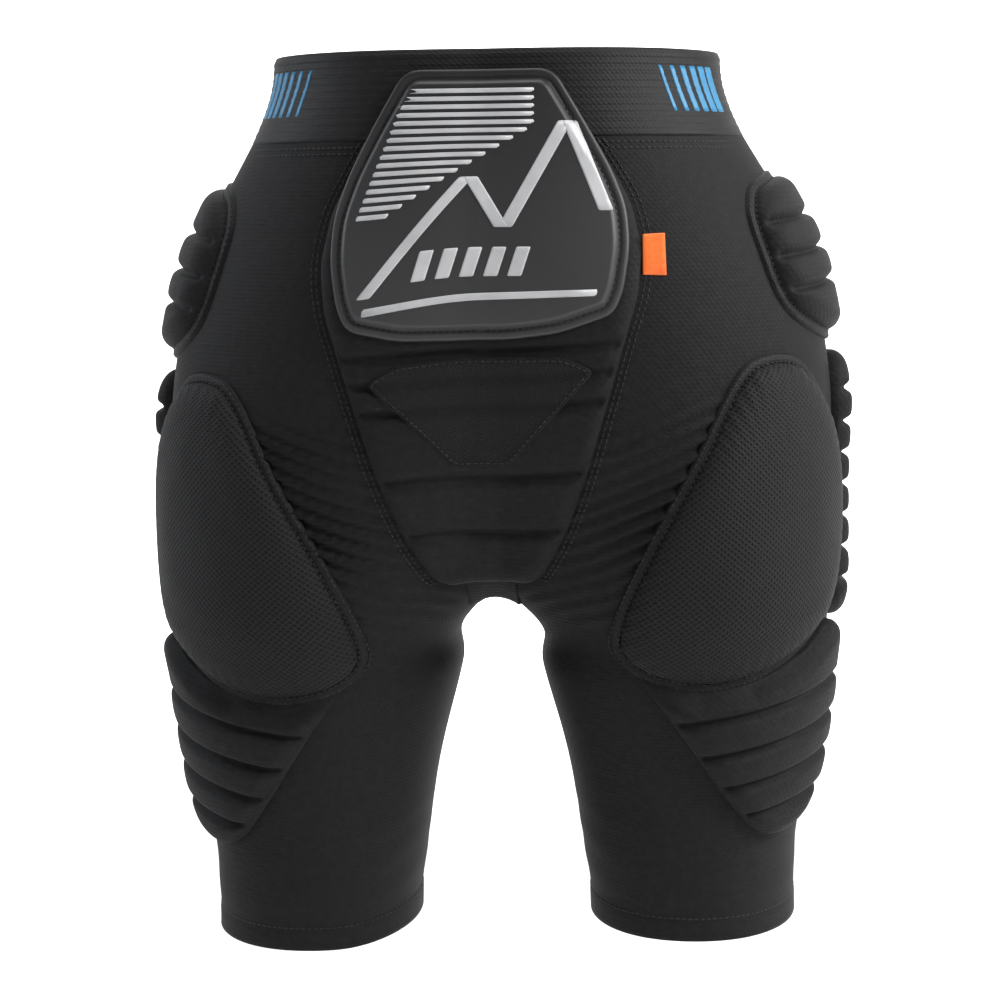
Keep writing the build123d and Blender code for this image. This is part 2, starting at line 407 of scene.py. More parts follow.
def knit(name, dark, light, pitch=1.1 * MM, roughness=0.75, sheen=0.02):
    """Fine jersey: crossed waves for the loops, noise for fuzz and shade."""
    mat, tree, shader, coords = base_material(name, dark, roughness, sheen, 0.0, 0.22)
    varied_color(tree, shader, coords, dark, light, 260.0, 8.0)
    waves = []
    for direction in ("Z", "DIAGONAL"):
        wave = node(tree, "ShaderNodeTexWave", Scale=0.16 / pitch, Distortion=1.2, Detail=1.0, Detail_Scale=2.0)
        wave.wave_type = "BANDS"
        wave.bands_direction = direction
        tree.links.new(coords, wave.inputs["Vector"])
        waves.append(wave)
    mixed = tree.nodes.new("ShaderNodeMath")
    mixed.operation = "MULTIPLY"
    tree.links.new(waves[0].outputs["Fac"], mixed.inputs[0])
    tree.links.new(waves[1].outputs["Fac"], mixed.inputs[1])
    first = add_bump(tree, shader, mixed.outputs[0], 0.25 * MM, 0.55)
    fuzz = node(tree, "ShaderNodeTexNoise", Scale=900.0, Detail=3.0)
    tree.links.new(coords, fuzz.inputs["Vector"])
    add_bump(tree, shader, fuzz.outputs["Fac"], 0.2 * MM, 0.5, first)
    return mat


def open_mesh(name, dark, light, cell=2.2 * MM, roughness=0.7):
    """Knitted mesh: rounded holes between raised yarns over dark foam."""
    mat, tree, shader, coords = base_material(name, light, roughness, 0.02, 0.0, 0.22)
    layout = tree.nodes.new("ShaderNodeTexCoord")
    turned = node(tree, "ShaderNodeMapping", Rotation=(0, 0, math.radians(45)))
    tree.links.new(layout.outputs["UV"], turned.inputs["Vector"])
    holes = node(tree, "ShaderNodeTexVoronoi", Scale=1 / cell, Randomness=0.12)
    holes.voronoi_dimensions = "2D"
    holes.feature = "DISTANCE_TO_EDGE"
    tree.links.new(turned.outputs["Vector"], holes.inputs["Vector"])
    ramp = tree.nodes.new("ShaderNodeValToRGB")
    ramp.color_ramp.elements[0].position = 0.05
    ramp.color_ramp.elements[1].position = 0.22
    ramp.color_ramp.elements[0].color = (*light, 1)
    ramp.color_ramp.elements[1].color = (*dark, 1)
    tree.links.new(holes.outputs["Distance"], ramp.inputs["Fac"])
    tree.links.new(ramp.outputs["Color"], shader.inputs["Base Color"])
    invert = tree.nodes.new("ShaderNodeMath")
    invert.operation = "SUBTRACT"
    invert.inputs[0].default_value = 0.5
    tree.links.new(holes.outputs["Distance"], invert.inputs[1])
    first = add_bump(tree, shader, invert.outputs[0], 0.9 * MM, 0.9)
    fuzz = node(tree, "ShaderNodeTexNoise", Scale=1100.0, Detail=2.0)
    tree.links.new(coords, fuzz.inputs["Vector"])
    add_bump(tree, shader, fuzz.outputs["Fac"], 0.15 * MM, 0.4, first)
    return mat


def moulded(name, dark, light, roughness, grain=1400.0, coat=0.0):
    """Rubber or plastic with a fine moulded grain and slight wear."""
    mat, tree, shader, coords = base_material(name, dark, roughness, 0.0, coat)
    varied_color(tree, shader, coords, dark, light, 45.0, 5.0)
    fine = node(tree, "ShaderNodeTexNoise", Scale=grain, Detail=2.0)
    tree.links.new(coords, fine.inputs["Vector"])
    add_bump(tree, shader, fine.outputs["Fac"], 0.12 * MM, 0.35)
    return mat


def plate_material():
    """Satin charcoal rubber with painted light: its colour turns lighter towards its lower edge."""
    mat, tree, shader, coords = base_material("plate_rubber", (0.03, 0.03, 0.032), 0.5)
    low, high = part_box("tailbone_plate")
    split = tree.nodes.new("ShaderNodeSeparateXYZ")
    tree.links.new(coords, split.inputs[0])
    span = tree.nodes.new("ShaderNodeMapRange")
    span.inputs["From Min"].default_value = high.z
    span.inputs["From Max"].default_value = low.z
    tree.links.new(split.outputs["Z"], span.inputs["Value"])
    # painted light: the colour runs from dark at the top of the plate to lighter at its lower edge
    ramp = tree.nodes.new("ShaderNodeValToRGB")
    ramp.color_ramp.elements[0].color = (0.008, 0.008, 0.009, 1)
    ramp.color_ramp.elements[1].color = (0.034, 0.034, 0.035, 1)
    tree.links.new(span.outputs["Result"], ramp.inputs["Fac"])
    tree.links.new(ramp.outputs["Color"], shader.inputs["Base Color"])
    fine = node(tree, "ShaderNodeTexNoise", Scale=1500.0, Detail=3.0)
    tree.links.new(coords, fine.inputs["Vector"])
    add_bump(tree, shader, fine.outputs["Fac"], 0.12 * MM, 0.35)
    return mat


SHELL = knit("shell_fabric", (0.0030, 0.0030, 0.0034), (0.0075, 0.0075, 0.0084))
PADDING = knit("pad_fabric", (0.0034, 0.0034, 0.0038), (0.0085, 0.0085, 0.0094), 1.4 * MM)
MESH = open_mesh("mesh_fabric", (0.0018, 0.0018, 0.0020), (0.0120, 0.0120, 0.0130))
PATCH = open_mesh("patch_mesh", (0.0018, 0.0018, 0.0020), (0.0100, 0.0100, 0.0110), 1.3 * MM)
TAPE = knit("binding_tape", (0.0026, 0.0026, 0.0030), (0.0070, 0.0070, 0.0078), 0.8 * MM, 0.65)
ELASTIC = knit("elastic", (0.0040, 0.0040, 0.0046), (0.0080, 0.0080, 0.0090), 0.9 * MM, 0.6)
THREAD = knit("thread", (0.012, 0.012, 0.013), (0.030, 0.030, 0.032), 0.5 * MM, 0.55)
PLATE = plate_material()
SILVER = moulded("emblem_print", (0.42, 0.42, 0.43), (0.52, 0.52, 0.53), 0.38)
BLUE = moulded("waist_print", (0.010, 0.15, 0.30), (0.016, 0.20, 0.38), 0.5)
ORANGE = moulded("tag_rubber", (0.80, 0.12, 0.012), (0.92, 0.19, 0.03), 0.42)
LINING = knit("lining", (0.02, 0.02, 0.021), (0.045, 0.045, 0.047), 1.6 * MM)
SILICONE = moulded("gripper_silicone", (0.05, 0.05, 0.055), (0.08, 0.08, 0.085), 0.3)


# ---- outlines of the sewn-on parts (across, z), in millimetres ------------
THIGH_PAD = [(94, -169), (67, -167), (52, -178), (34, -209), (20, -240), (9, -272), (4, -296), (6, -318),
             (18, -332), (40, -337), (66, -333), (93, -321), (122, -301), (136, -268), (136, -230), (121, -195)]
LOWER_PAD = [(10, -326), (28, -358), (45, -385), (60, -406), (76, -423), (91, -428), (114, -420), (132, -397),
             (139, -368), (139, -336), (130, -312), (98, -326), (66, -337), (34, -335)]
HIP_PAD = [(-45, -74), (-64, -86), (-70, -106), (-69, -130), (-56, -143), (-25, -152), (12, -153),
           (42, -141), (54, -114), (44, -86), (6, -70)]
SIDE_PAD = [(2, -165), (-17, -176), (-19, -200), (-14, -245), (-16, -288), (-12, -306), (10, -318),
            (34, -308), (44, -288), (44, -202), (32, -176)]
V_EDGE = [(58, -46.5), (68, -62), (78, -80), (84, -104), (82, -128), (75, -152), (66, -184), (56, -218),
          (44, -252), (31, -277), (24, -284)]
PLATE_EDGE = [(38, -12), (54, -40), (67, -64), (75, -84), (77, -104), (74, -126), (69, -138), (42, -147),
              (16, -150)]


def mirrored_outline(half):
    return half + [(-x, z) for x, z in reversed(half)]


# ---- laid-on pieces --------------------------------------------------------
def laid_grid(curve, rings, turn, surface=None, center=None):
    """Concentric rings from an outline to its middle, laid on a surface.

    Gives places, normals, each point's (across, z) and its distance from the edge.
    """
    surface = surface or BODY
    middle = np.mean(curve, axis=0) if center is None else np.array(center, float)
    share = np.linspace(0, 1, rings) ** 1.15
    flat = np.concatenate([curve + (middle - curve) * s for s in share[:-1]] + [middle[None]])
    places, normals = surface.lay(flat[:, 0], flat[:, 1], turn)
    edge = np.empty(len(flat))
    for k in range(0, len(flat), 400):
        gap = flat[k:k + 400, None] - curve[None]
        edge[k:k + 400] = np.sqrt((gap ** 2).sum(-1).min(1))
    return places, normals, flat, edge


def ring_faces(count, rings):
    faces = grid_faces(rings - 1, count, closed=True)
    last, tip = (rings - 2) * count, (rings - 1) * count
    return faces + [(last + j, last + (j + 1) % count, tip) for j in range(count)]


def dome(edge, width, height):
    """Round shoulder that rises from the edge to its full height."""
    t = np.clip(edge / width, 0, 1)
    return height * np.sqrt(1 - (1 - t) ** 2)


def grooves(z, levels, width, depth):
    cut = np.zeros_like(z)
    for level in levels:
        cut += depth * np.exp(-((z - level) / width) ** 2)
    return cut


def laid_piece(name, curve, rings, laid, height_of, material, side=1):
    """One padded or flat piece laid on the body; height_of(flat, edge, places) gives its thickness."""
    places, normals, flat, edge = laid
    count = len(curve)
    verts = places + normals * height_of(flat, edge, places)[:, None]
    under = places[:count] - normals[:count] * 1.0 * MM
    verts = np.vstack([verts, under]) * np.array([side, 1, 1])
    faces = ring_faces(count, rings)
    base = (rings - 1) * count + 1
    faces += [(base + j, base + (j + 1) % count, (j + 1) % count, j) for j in range(count)]
    if clockwise(curve) != (side < 0):
        faces = [f[::-1] for f in faces]
    piece = new_piece(name, verts, faces, material)
    layout = np.vstack([flat, flat[:count]])
    corner = np.empty(len(piece.data.loops), dtype=np.int32)
    piece.data.loops.foreach_get("vertex_index", corner)
    piece.data.uv_layers.new(name="lay").data.foreach_set("uv", layout[corner].ravel())
    return piece


def laid_path(curve, turn, lift, surface=None):
    """Points and normals of a path laid on a surface."""
    places, normals = (surface or BODY).lay(curve[:, 0], curve[:, 1], turn)
    return places + normals * lift, normals


def sweep(name, path, normals, section, material, side=1, closed=True):
    """Strip with a cross-section [(sideways, up)...] swept along a path on the surface."""
    if closed:
        tangent = np.roll(path, -1, 0) - np.roll(path, 1, 0)
    else:
        tangent = np.gradient(path, axis=0)
    tangent /= np.linalg.norm(tangent, axis=1)[:, None]
    sideways = np.cross(tangent, normals)
    rows = [path + sideways * a + normals * b for a, b in section]
    verts = np.concatenate(rows)
    verts[:, 0] *= side
    n = len(path)
    faces = []
    for i in range(len(section) - 1):
        for j in range(n if closed else n - 1):
            k = (j + 1) % n
            quad = (i * n + j, i * n + k, (i + 1) * n + k, (i + 1) * n + j)
            faces.append(quad if side > 0 else quad[::-1])
    return new_piece(name, verts, faces, material)


def stitch_row(path, normals, length=2.4 * MM, pitch=3.4 * MM, radius=0.42 * MM):
    """Vertices and faces of a row of thread stitches along a path."""
    steps = np.linalg.norm(np.diff(path, axis=0), axis=1)
    along = np.concatenate([[0], np.cumsum(steps)])
    verts, faces = [], []
    profile = ((-0.5, 0.25), (-0.32, 0.9), (0.0, 1.0), (0.32, 0.9), (0.5, 0.25))
    for start in np.arange(pitch / 2, along[-1] - pitch / 2, pitch):
        spot = np.array([np.interp(start, along, path[:, k]) for k in range(3)])
        ahead = np.array([np.interp(start + 0.5 * MM, along, path[:, k]) for k in range(3)])
        up = np.array([np.interp(start, along, normals[:, k]) for k in range(3)])
        forward = (ahead - spot) / (np.linalg.norm(ahead - spot) + 1e-12)
        across = np.cross(forward, up)
        base = len(verts)
        for place, size in profile:
            for corner in range(6):
                a = corner * math.pi / 3
                verts.append(spot + forward * place * length
                             + (across * math.cos(a) + up * math.sin(a) * 0.8) * radius * size)
        for i in range(len(profile) - 1):
            for j in range(6):
                k = (j + 1) % 6
                faces.append((base + i * 6 + j, base + i * 6 + k, base + i * 6 + 6 + k, base + i * 6 + 6 + j))
        faces.append(tuple(base + j for j in reversed(range(6))))
        faces.append(tuple(base + (len(profile) - 1) * 6 + j for j in range(6)))
    return verts, faces


def stitching(name, rows, side=1, material=None):
    """All rows of stitches of one seam as one piece."""
    verts, faces = [], []
    for path, normals in rows:
        v, f = stitch_row(path, normals)
        faces += [tuple(i + len(verts) for i in face) for face in f]
        verts += v
    verts = np.array(verts)
    verts[:, 0] *= side
    if side < 0:
        faces = [f[::-1] for f in faces]
    return new_piece(name, verts, faces, material or THREAD)


def follow(piece):
    """Bakes the placement of one side's piece into its mesh."""
    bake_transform(piece)
    return piece


# ---- fabric skin -----------------------------------------------------------
def pad_edge_x(z):
    """Where the inner edge of the thigh pad lies behind the leg at height z."""
    return np.interp(z, [-0.337, -0.318, -0.296, -0.272, -0.240, -0.209, -0.178, -0.167],
                     [0.105, 0.076, 0.073, 0.082, 0.098, 0.113, 0.131, 0.142])


def v_edge_x(z):
    edge = np.array(V_EDGE) * MM
    return np.interp(z, edge[::-1, 1], edge[::-1, 0])


def folds(p):
    """Height of the folds and slack of the worn fabric, right half."""
    x, y, z = p[..., 0], p[..., 1], p[..., 2]
    behind = smoothstep((-y - 0.035) / 0.04)
    gap = pad_edge_x(z) - x
    width = np.maximum(pad_edge_x(z) - v_edge_x(z), 0.012)
    near = np.exp(-np.clip(gap, 0, 1) / 0.042) * smoothstep((gap + 0.014) / 0.012)
    band = smoothstep((-0.172 - z) / 0.03) * smoothstep((z + 0.322) / 0.03)
    slope = np.clip(gap / width, 0, 1.4)
    wander = 0.35 * noise3(p * 60, 3)
    phase = (z + 0.45 * gap - 0.06 * slope ** 2 * width) / 0.0108 + wander
    ridge = np.sin(2 * math.pi * phase)
    ridge = np.sign(ridge) * np.abs(ridge) ** 0.8
    vary = 0.75 + 0.45 * noise3(p * np.array([20, 20, 90]), 11)
    height = 2.7 * MM * ridge * near * band * behind * vary
    # creases under the lower pad and slack down the inner leg
    low = smoothstep((-0.405 - z) / 0.02) * smoothstep((z + 0.474) / 0.02)
    crease = np.sin(2 * math.pi * ((z + 0.10 * x - 0.05 * y) / 0.021 + 0.4 * noise3(p * 38, 5)))
    height = height + 0.75 * MM * crease * low * (0.5 + 0.5 * noise3(p * 26, 8))
    leg = smoothstep((-0.30 - z) / 0.05) * smoothstep((z + 0.474) / 0.015)
    height = height + 0.9 * MM * leg * noise3(p * np.array([24, 24, 60]), 21)
    front = smoothstep((y - 0.02) / 0.04)
    groin = np.exp(-((z + 0.262 + 0.35 * (x - 0.05)) / 0.035) ** 2)
    pull = np.sin(2 * math.pi * ((z + 0.5 * x) / 0.019 + 0.4 * noise3(p * 30, 4)))
    height = height + 1.1 * MM * front * groin * pull
    return height + 0.5 * MM * noise3(p * 34, 2)


def hem_shape(z):
    """The folded hem stands out below its line of stitches, which pulls the cloth in."""
    step = 0.55 * MM * smoothstep((HEM_TOP + 1 * MM - z) / (1.5 * MM))
    pinch = 0.5 * MM * np.exp(-((z - HEM_TOP) / (1.6 * MM)) ** 2)
    return step - pinch


def fabric_skin():
    top = int(np.argmax(SKIN_ROWS < BAND_BOTTOM + 2.5 * MM))
    skin_p, skin_n = SKIN[top:], SKIN_N[top:]
    lift = folds(skin_p) + hem_shape(skin_p[..., 2])
    calm = smoothstep(skin_p[..., 0] / 0.012)
    closed = SKIN_ROWS[top:] < CROTCH
    calm[closed] = 1.0
    p = skin_p + skin_n * (lift * calm)[..., None]
    grid = grid_faces(p.shape[0], p.shape[1])
    p[closed, 0] = p[closed, -1] = ((p[:, 0] + p[:, -1]) / 2)[closed]
    p[~closed, 0, 0] = p[~closed, -1, 0] = 0.0
    for name, side in SIDES.items():
        verts = p.reshape(-1, 3) * np.array([side, 1, 1])
        faces = grid if side > 0 else [f[::-1] for f in grid]
        skin = new_piece(f"shell_fabric_{name}", verts, faces, SHELL)
        skin.data.materials.append(LINING)
        solid = solidify(skin, 1.4 * MM)
        solid.material_offset = 1
        solid.material_offset_rim = 0
        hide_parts(*(f"{n}_{name}" for n in ("seat_panel", "front_panel", "leg_back_panel",
                                                   "leg_front_panel", "leg_hem")))
        follow(skin)


fabric_skin()


def waistband():
    """Elastic band: a rounded strip round the waist with a few lengthwise ribs."""
    profile = []
    for t in np.linspace(0, 1, 40):
        z = BAND_BOTTOM * (1 - t) - 0.4 * MM * t
        rib = 0.16 * MM * math.sin(t * math.pi * 2 * 11)
        bulge = 0.5 * MM * math.sin(math.pi * t)
        shoulder = -1.0 * MM * (max(0.0, t - 0.93) / 0.07) ** 2 - 0.7 * MM * (max(0.0, 0.05 - t) / 0.05) ** 2
        profile.append((z, 1.0 * MM + rib + bulge + shoulder))
    profile += [(0.0, -0.4 * MM), (-0.6 * MM, -1.6 * MM), (-10 * MM, -2.0 * MM), (-30 * MM, -2.0 * MM),
                (BAND_BOTTOM + 1 * MM, -1.8 * MM), (BAND_BOTTOM, -0.6 * MM)]
    share = np.linspace(0, 1, 150)
    verts, cols = [], 0
    for z, lift in profile:
        level = min(z, -1 * MM)
        front, back = seam_angle(level, True), seam_angle(level, False)
        turn = (math.pi - front) * (1 - share) - (math.pi - back) * share
        r = reach_at(np.full_like(turn, level), turn % (2 * math.pi)) + FABRIC + lift
        half = np.stack([mid_x(level) + r * np.cos(turn), MID_Y + r * np.sin(turn), np.full_like(turn, z)], 1)
        half[0, 0] = half[-1, 0] = 0
        wave = 0.35 * MM * np.sin(half[:, 0] / 0.017) * math.exp(-((z - BAND_BOTTOM) / 0.02) ** 2)
        half[1:-1, 1] += np.sign(half[1:-1, 1]) * wave[1:-1]
        other = half[-2:0:-1] * np.array([-1, 1, 1])
        loop = np.vstack([half, other])
        cols = len(loop)
        verts.append(loop)
    faces = grid_faces(len(profile), cols, closed=True, flip=True)
    last = (len(profile) - 1) * cols
    faces += [(j, (j + 1) % cols, last + (j + 1) % cols, last + j) for j in range(cols)]
    band = new_piece("waistband_elastic", np.concatenate(verts), faces, ELASTIC)
    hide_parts("waistband")
    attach(band, "pelvis")


waistband()


def crotch_gusset():
    """Panel that closes the seat between the legs, seen from below and behind."""
    edge_y = np.linspace(-0.098, 0.078, 60)
    rows = []
    for y in edge_y:
        hit_z = []
        for x in np.linspace(-0.0135, 0.0135, 11):
            hit = BODY.tree.ray_cast(Vector((max(abs(x), 0.8 * MM) * (1 if x >= 0 else -1), y, -0.40)),
                                     Vector((0, 0, 1)))
            hit_z.append(hit[0].z if hit[0] is not None else np.nan)
        rows.append(hit_z)
    z = np.array(rows)
    middle = np.nanmax(z, axis=1)
    middle = np.where(np.isnan(middle), -0.262, middle)
    x = np.linspace(-0.0135, 0.0135, 11)
    verts = []
    for i, y in enumerate(edge_y):
        for xx in x:
            sag = 4.5 * MM * (abs(xx) / 0.0135) ** 2
            verts.append((xx, y, min(middle[i], -0.245) - 0.8 * MM - sag))
    gusset = new_piece("gusset_fabric", verts, grid_faces(len(edge_y), len(x)), SHELL)
    solidify(gusset, 1.2 * MM, 0.0)
    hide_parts("crotch_gusset")
    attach(gusset, "pelvis")


crotch_gusset()


# ---- tailbone pad, plate, patch ---------------------------------------------
RIBS = [z * MM for z in (-157, -171, -186, -222, -253)]
V_CURVE = rounded_polygon(np.array(mirrored_outline(V_EDGE)) * MM, 6 * MM, 420)


def v_height(flat, edge, places):
    z = flat[:, 1] - 3 * MM * (np.abs(flat[:, 0]) / 0.06) ** 2
    body_height = dome(edge, 9 * MM, 5.6 * MM)
    cut = grooves(z, RIBS, 2.6 * MM, 3.8 * MM) * smoothstep(edge / (5 * MM))
    soft = 0.5 * MM * noise3(places * 70, 31) * smoothstep(edge / 0.01)
    return 0.6 * MM + body_height - cut + soft


def tailbone_pad():
    pad = laid_piece("tailbone_pad", V_CURVE, 78, laid_grid(V_CURVE, 78, 0.0, None, (0, -0.135)), v_height, PADDING)
    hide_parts("tailbone_cover", "tailbone_foam", "tailbone_panel")
    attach(pad, "pelvis")
    rows = []
    for offset in (2.2 * MM, 5.0 * MM):
        for sign in (1, -1):
            line = np.array(V_EDGE) * MM
            line = line * np.array([sign, 1]) + np.array([sign * offset, 0])
            line = even(closed_free(line), 260, False)
            rows.append(laid_path(line, 0.0, 0.5 * MM))
    seam = stitching("tailbone_seam_stitches", rows)
    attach(seam, "pelvis")
    return pad


def closed_free(points):
    """Dense smooth curve through open points."""
    p = np.vstack([2 * points[0] - points[1], points, 2 * points[-1] - points[-2]])
    dense = []
    for i in range(1, len(p) - 2):
        for t in np.linspace(0, 1, 12, endpoint=False):
            dense.append(cubic([p[i - 1], p[i], p[i + 1], p[i + 2]], t))
    dense.append(p[-2])
    return np.array(dense)


PLATE_CURVE = rounded_polygon(np.array(mirrored_outline(PLATE_EDGE)) * MM, 8 * MM, 400)
FLANGE = 3.6 * MM


def plate_height(flat, edge, places):
    flange = dome(edge, 1.6 * MM, 2.0 * MM)
    groove = 1.3 * MM * np.exp(-((edge - 4.6 * MM) / (0.9 * MM)) ** 2)
    body_height = 2.9 * MM * smoothstep((edge - 5.0 * MM) / (3.2 * MM))
    crown = 1.0 * MM * smoothstep((edge - 8 * MM) / 0.05)
    return 7.0 * MM + flange - groove + body_height + crown


def plate():
    places, normals, flat, edge = laid_grid(PLATE_CURVE, 90, 0.0, None, (0, -0.088))
    height = plate_height(flat, edge, places)
    count = len(PLATE_CURVE)
    top = places + normals * height[:, None]
    lip = places[:count] + normals[:count] * 6.2 * MM
    verts = np.vstack([top, lip])
    faces = ring_faces(count, 90)
    base = 89 * count + 1
    faces += [(base + j, base + (j + 1) % count, (j + 1) % count, j) for j in range(count)]
    if clockwise(PLATE_CURVE):
        faces = [f[::-1] for f in faces]
    piece = new_piece("tailbone_shield", verts, faces, PLATE)
    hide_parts("tailbone_plate")
    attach(piece, "pelvis")
    inward = PLATE_CURVE - outward(PLATE_CURVE) * 4.6 * MM
    keep = inward[inward[:, 1] < -0.030]
    order = np.argsort(np.arctan2(keep[:, 0], keep[:, 1] + 0.06))
    line = keep[order]
    places_s, normals_s = BODY.lay(line[:, 0], line[:, 1], 0.0)
    seam = stitching("shield_stitches", [(places_s + normals_s * 8.1 * MM, normals_s)])
    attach(seam, "pelvis")
    mesh = piece.data
    vertex_normals = np.array([v.normal for v in mesh.vertices])
    return Surface(verts, [tuple(p.vertices) for p in mesh.polygons], vertex_normals)


tailbone_pad()
SHIELD = plate()


def merge(name, parts, material):
    """Joins (verts, faces) lists into one piece."""
    verts, faces = [], []
    for v, f in parts:
        faces += [tuple(i + len(verts) for i in face) for face in f]
        verts += list(v)
    return new_piece(name, verts, faces, material)


def raised(outline, surface, turn, thickness, rings=7, count=90, radius=0.9 * MM):
    """Thin raised shape with straight sides and soft corners."""
    curve = rounded_polygon(np.array(outline) * MM, radius, count)
    places, normals, flat, edge = laid_grid(curve, rings, turn, surface)
    height = dome(edge, 0.5 * MM, thickness) + 0.05 * MM
    verts = places + normals * height[:, None]
    verts = np.vstack([verts, places[:count] - normals[:count] * 0.4 * MM])
    faces = ring_faces(count, rings)
    base = (rings - 1) * count + 1
    faces += [(base + j, base + (j + 1) % count, (j + 1) % count, j) for j in range(count)]
    if clockwise(curve):
        faces = [f[::-1] for f in faces]
    return verts, faces


def band_between(a, b, width):
    """Outline of a straight bar with level ends, from a to b."""
    (x0, z0), (x1, z1) = a, b
    return [(x0 - width / 2, z0), (x0 + width / 2, z0), (x1 + width / 2, z1), (x1 - width / 2, z1)]


def emblem():
    """Generic mark: speed stripes cut by a slope, a ridge line, slanted bars and an underline."""
    parts = []
    stripes, pitch = 16, 4.05
    for i in range(stripes):
        z = -21 - pitch * i
        share = i / (stripes - 1)
        left = -37 - 26 * share
        right = 30 - 76 * max(0.0, share - 0.30) / 0.70 if share > 0.30 else 30
        if right - left > 6:
            outline = [(left, z), (right, z), (right - 1.6, z - 2.3), (left - 1.0, z - 2.3)]
            parts.append(raised(outline, SHIELD, 0.0, 0.55 * MM, 5, 60))
    ridge = [((-60, -122), (-6, -66)), ((-4, -66), (12, -92)), ((14, -92), (45, -38)), ((47, -38), (66, -84))]
    for a, b in ridge:
        parts.append(raised(band_between(a, b, 7.5), SHIELD, 0.0, 0.6 * MM, 7, 110))
    for k in range(5):
        x = -30 + 12.5 * k
        parts.append(raised([(x, -102), (x + 7.5, -102), (x + 2.5, -117), (x - 5, -117)], SHIELD, 0.0, 0.6 * MM))
    parts.append(raised([(-60, -127), (62, -124), (61, -127.5), (-61, -131)], SHIELD, 0.0, 0.6 * MM, 5, 160))
    piece = merge("shield_emblem", parts, SILVER)
    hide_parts("plate_emblem")
    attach(piece, "pelvis")


emblem()


def patch():
    """Fine mesh applique under the plate, with a stitched border."""
    outline = np.array([(-44, -159), (44, -159), (60, -166), (36, -193), (16, -215), (-16, -215), (-36, -193),
                        (-60, -166)]) * MM
    curve = rounded_polygon(outline, 5 * MM, 300)

    def height(flat, edge, places):
        z = flat[:, 1] - 3 * MM * (np.abs(flat[:, 0]) / 0.06) ** 2
        below = 0.6 * MM + 5.6 * MM - 0.55 * grooves(z, RIBS, 2.4 * MM, 2.6 * MM)
        return below + 0.5 * MM + dome(edge, 0.8 * MM, 0.7 * MM)

    piece = laid_piece("mesh_applique", curve, 50, laid_grid(curve, 50, 0.0), height, PATCH)
    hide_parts("mesh_patch")
    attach(piece, "pelvis")
    line = curve - outward(curve) * 1.8 * MM
    line = np.vstack([line, line[:1]])
    z = line[:, 1] - 3 * MM * (np.abs(line[:, 0]) / 0.06) ** 2
    lift = 7.7 * MM - 0.55 * grooves(z, RIBS, 2.4 * MM, 2.6 * MM)
    places, normals = BODY.lay(line[:, 0], line[:, 1], 0.0)
    seam = stitching("applique_stitches", [(places + normals * lift[:, None], normals)])
    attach(seam, "pelvis")


patch()


# ---- pads of each side --------------------------------------------------------
def thigh_height(flat, edge, places):
    puff = dome(edge, 20 * MM, 11.0 * MM)
    crown = 2.2 * MM * smoothstep((edge - 10 * MM) / 0.035)
    dents = 0.5 * MM * noise3(places * 55, 41) * smoothstep(edge / 0.015)
    pucker = 0.5 * MM * np.sin(np.arctan2(flat[:, 1] + 0.25, flat[:, 0] - 0.07) * 64) * np.exp(-edge / 0.006)
    return 0.8 * MM + puff + crown + dents + pucker


def ribbed(levels, slope, full, shoulder=10 * MM, tucked=False):
    """Height of a padded panel with sewn channels across it."""
    def height(flat, edge, places):
        z = flat[:, 1] - slope * (flat[:, 0] - flat[:, 0].mean())
        rise = dome(edge, shoulder, full)
        if tucked:
            under = np.interp(flat[:, 0], [0.006, 0.018, 0.04, 0.066, 0.093, 0.122, 0.136],
                              [-0.318, -0.332, -0.337, -0.333, -0.321, -0.301, -0.270]) - 3 * MM
            rise = rise * (0.12 + 0.88 * smoothstep((under - flat[:, 1]) / 0.014))
        cut = grooves(z, levels, 2.2 * MM, 0.42 * full) * smoothstep(edge / (5 * MM))
        between = np.zeros_like(z)
        marks = sorted(levels)
        for a, b in zip(marks[:-1], marks[1:]):
            t = np.clip((z - a) / (b - a), 0, 1)
            between += 0.9 * MM * np.sin(math.pi * t) * smoothstep(edge / 0.012)
        return 0.8 * MM + rise - cut + between + 0.3 * MM * noise3(places * 80, 51)
    return height


PAD_SPECS = {
    # name: outline, facing, height, material, replaced nodes, fill
    "thigh_pad": (THIGH_PAD, BACK_FACING, thigh_height, MESH,
                  ("thigh_pad_cover", "thigh_pad_foam"), 0.8),
    "lower_thigh_pad": (LOWER_PAD, BACK_FACING, ribbed([z * MM for z in (-350, -371, -391, -410)], 0.16, 10 * MM, tucked=True),
                        PADDING, ("lower_thigh_pad_cover", "lower_thigh_pad_foam"), 0.6),
    "side_pad": (SIDE_PAD, 90.0, ribbed([z * MM for z in (-186, -204, -222, -240, -258, -276, -294)], 0.0, 10 * MM),
                 PADDING, ("side_pad_cover", "side_pad_foam"), 0.6),
    "hip_pad": (HIP_PAD, 90.0, ribbed([z * MM for z in (-92, -109, -126)], 0.05, 10 * MM),
                PADDING, ("hip_pad_cover", "hip_pad_foam"), 0.6),
}


def side_pads():
    for name, (outline, turn, height, material, nodes, fill) in PAD_SPECS.items():
        curve = closed_curve(np.array(outline) * MM, 300)
        laid = laid_grid(curve, 64, turn)
        for side_name, side in SIDES.items():
            pad = laid_piece(f"{name}_{side_name}", curve, 64, laid, height, material, side)
            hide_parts(*(f"{n}_{side_name}" for n in nodes))
            follow(pad)


side_pads()

TAPE_SECTION = [(-3.4 * MM, -0.6 * MM), (-3.3 * MM, 1.2 * MM), (-2.4 * MM, 2.1 * MM), (-0.5 * MM, 2.5 * MM),
                (1.6 * MM, 2.3 * MM), (2.9 * MM, 1.5 * MM), (3.4 * MM, -0.6 * MM)]


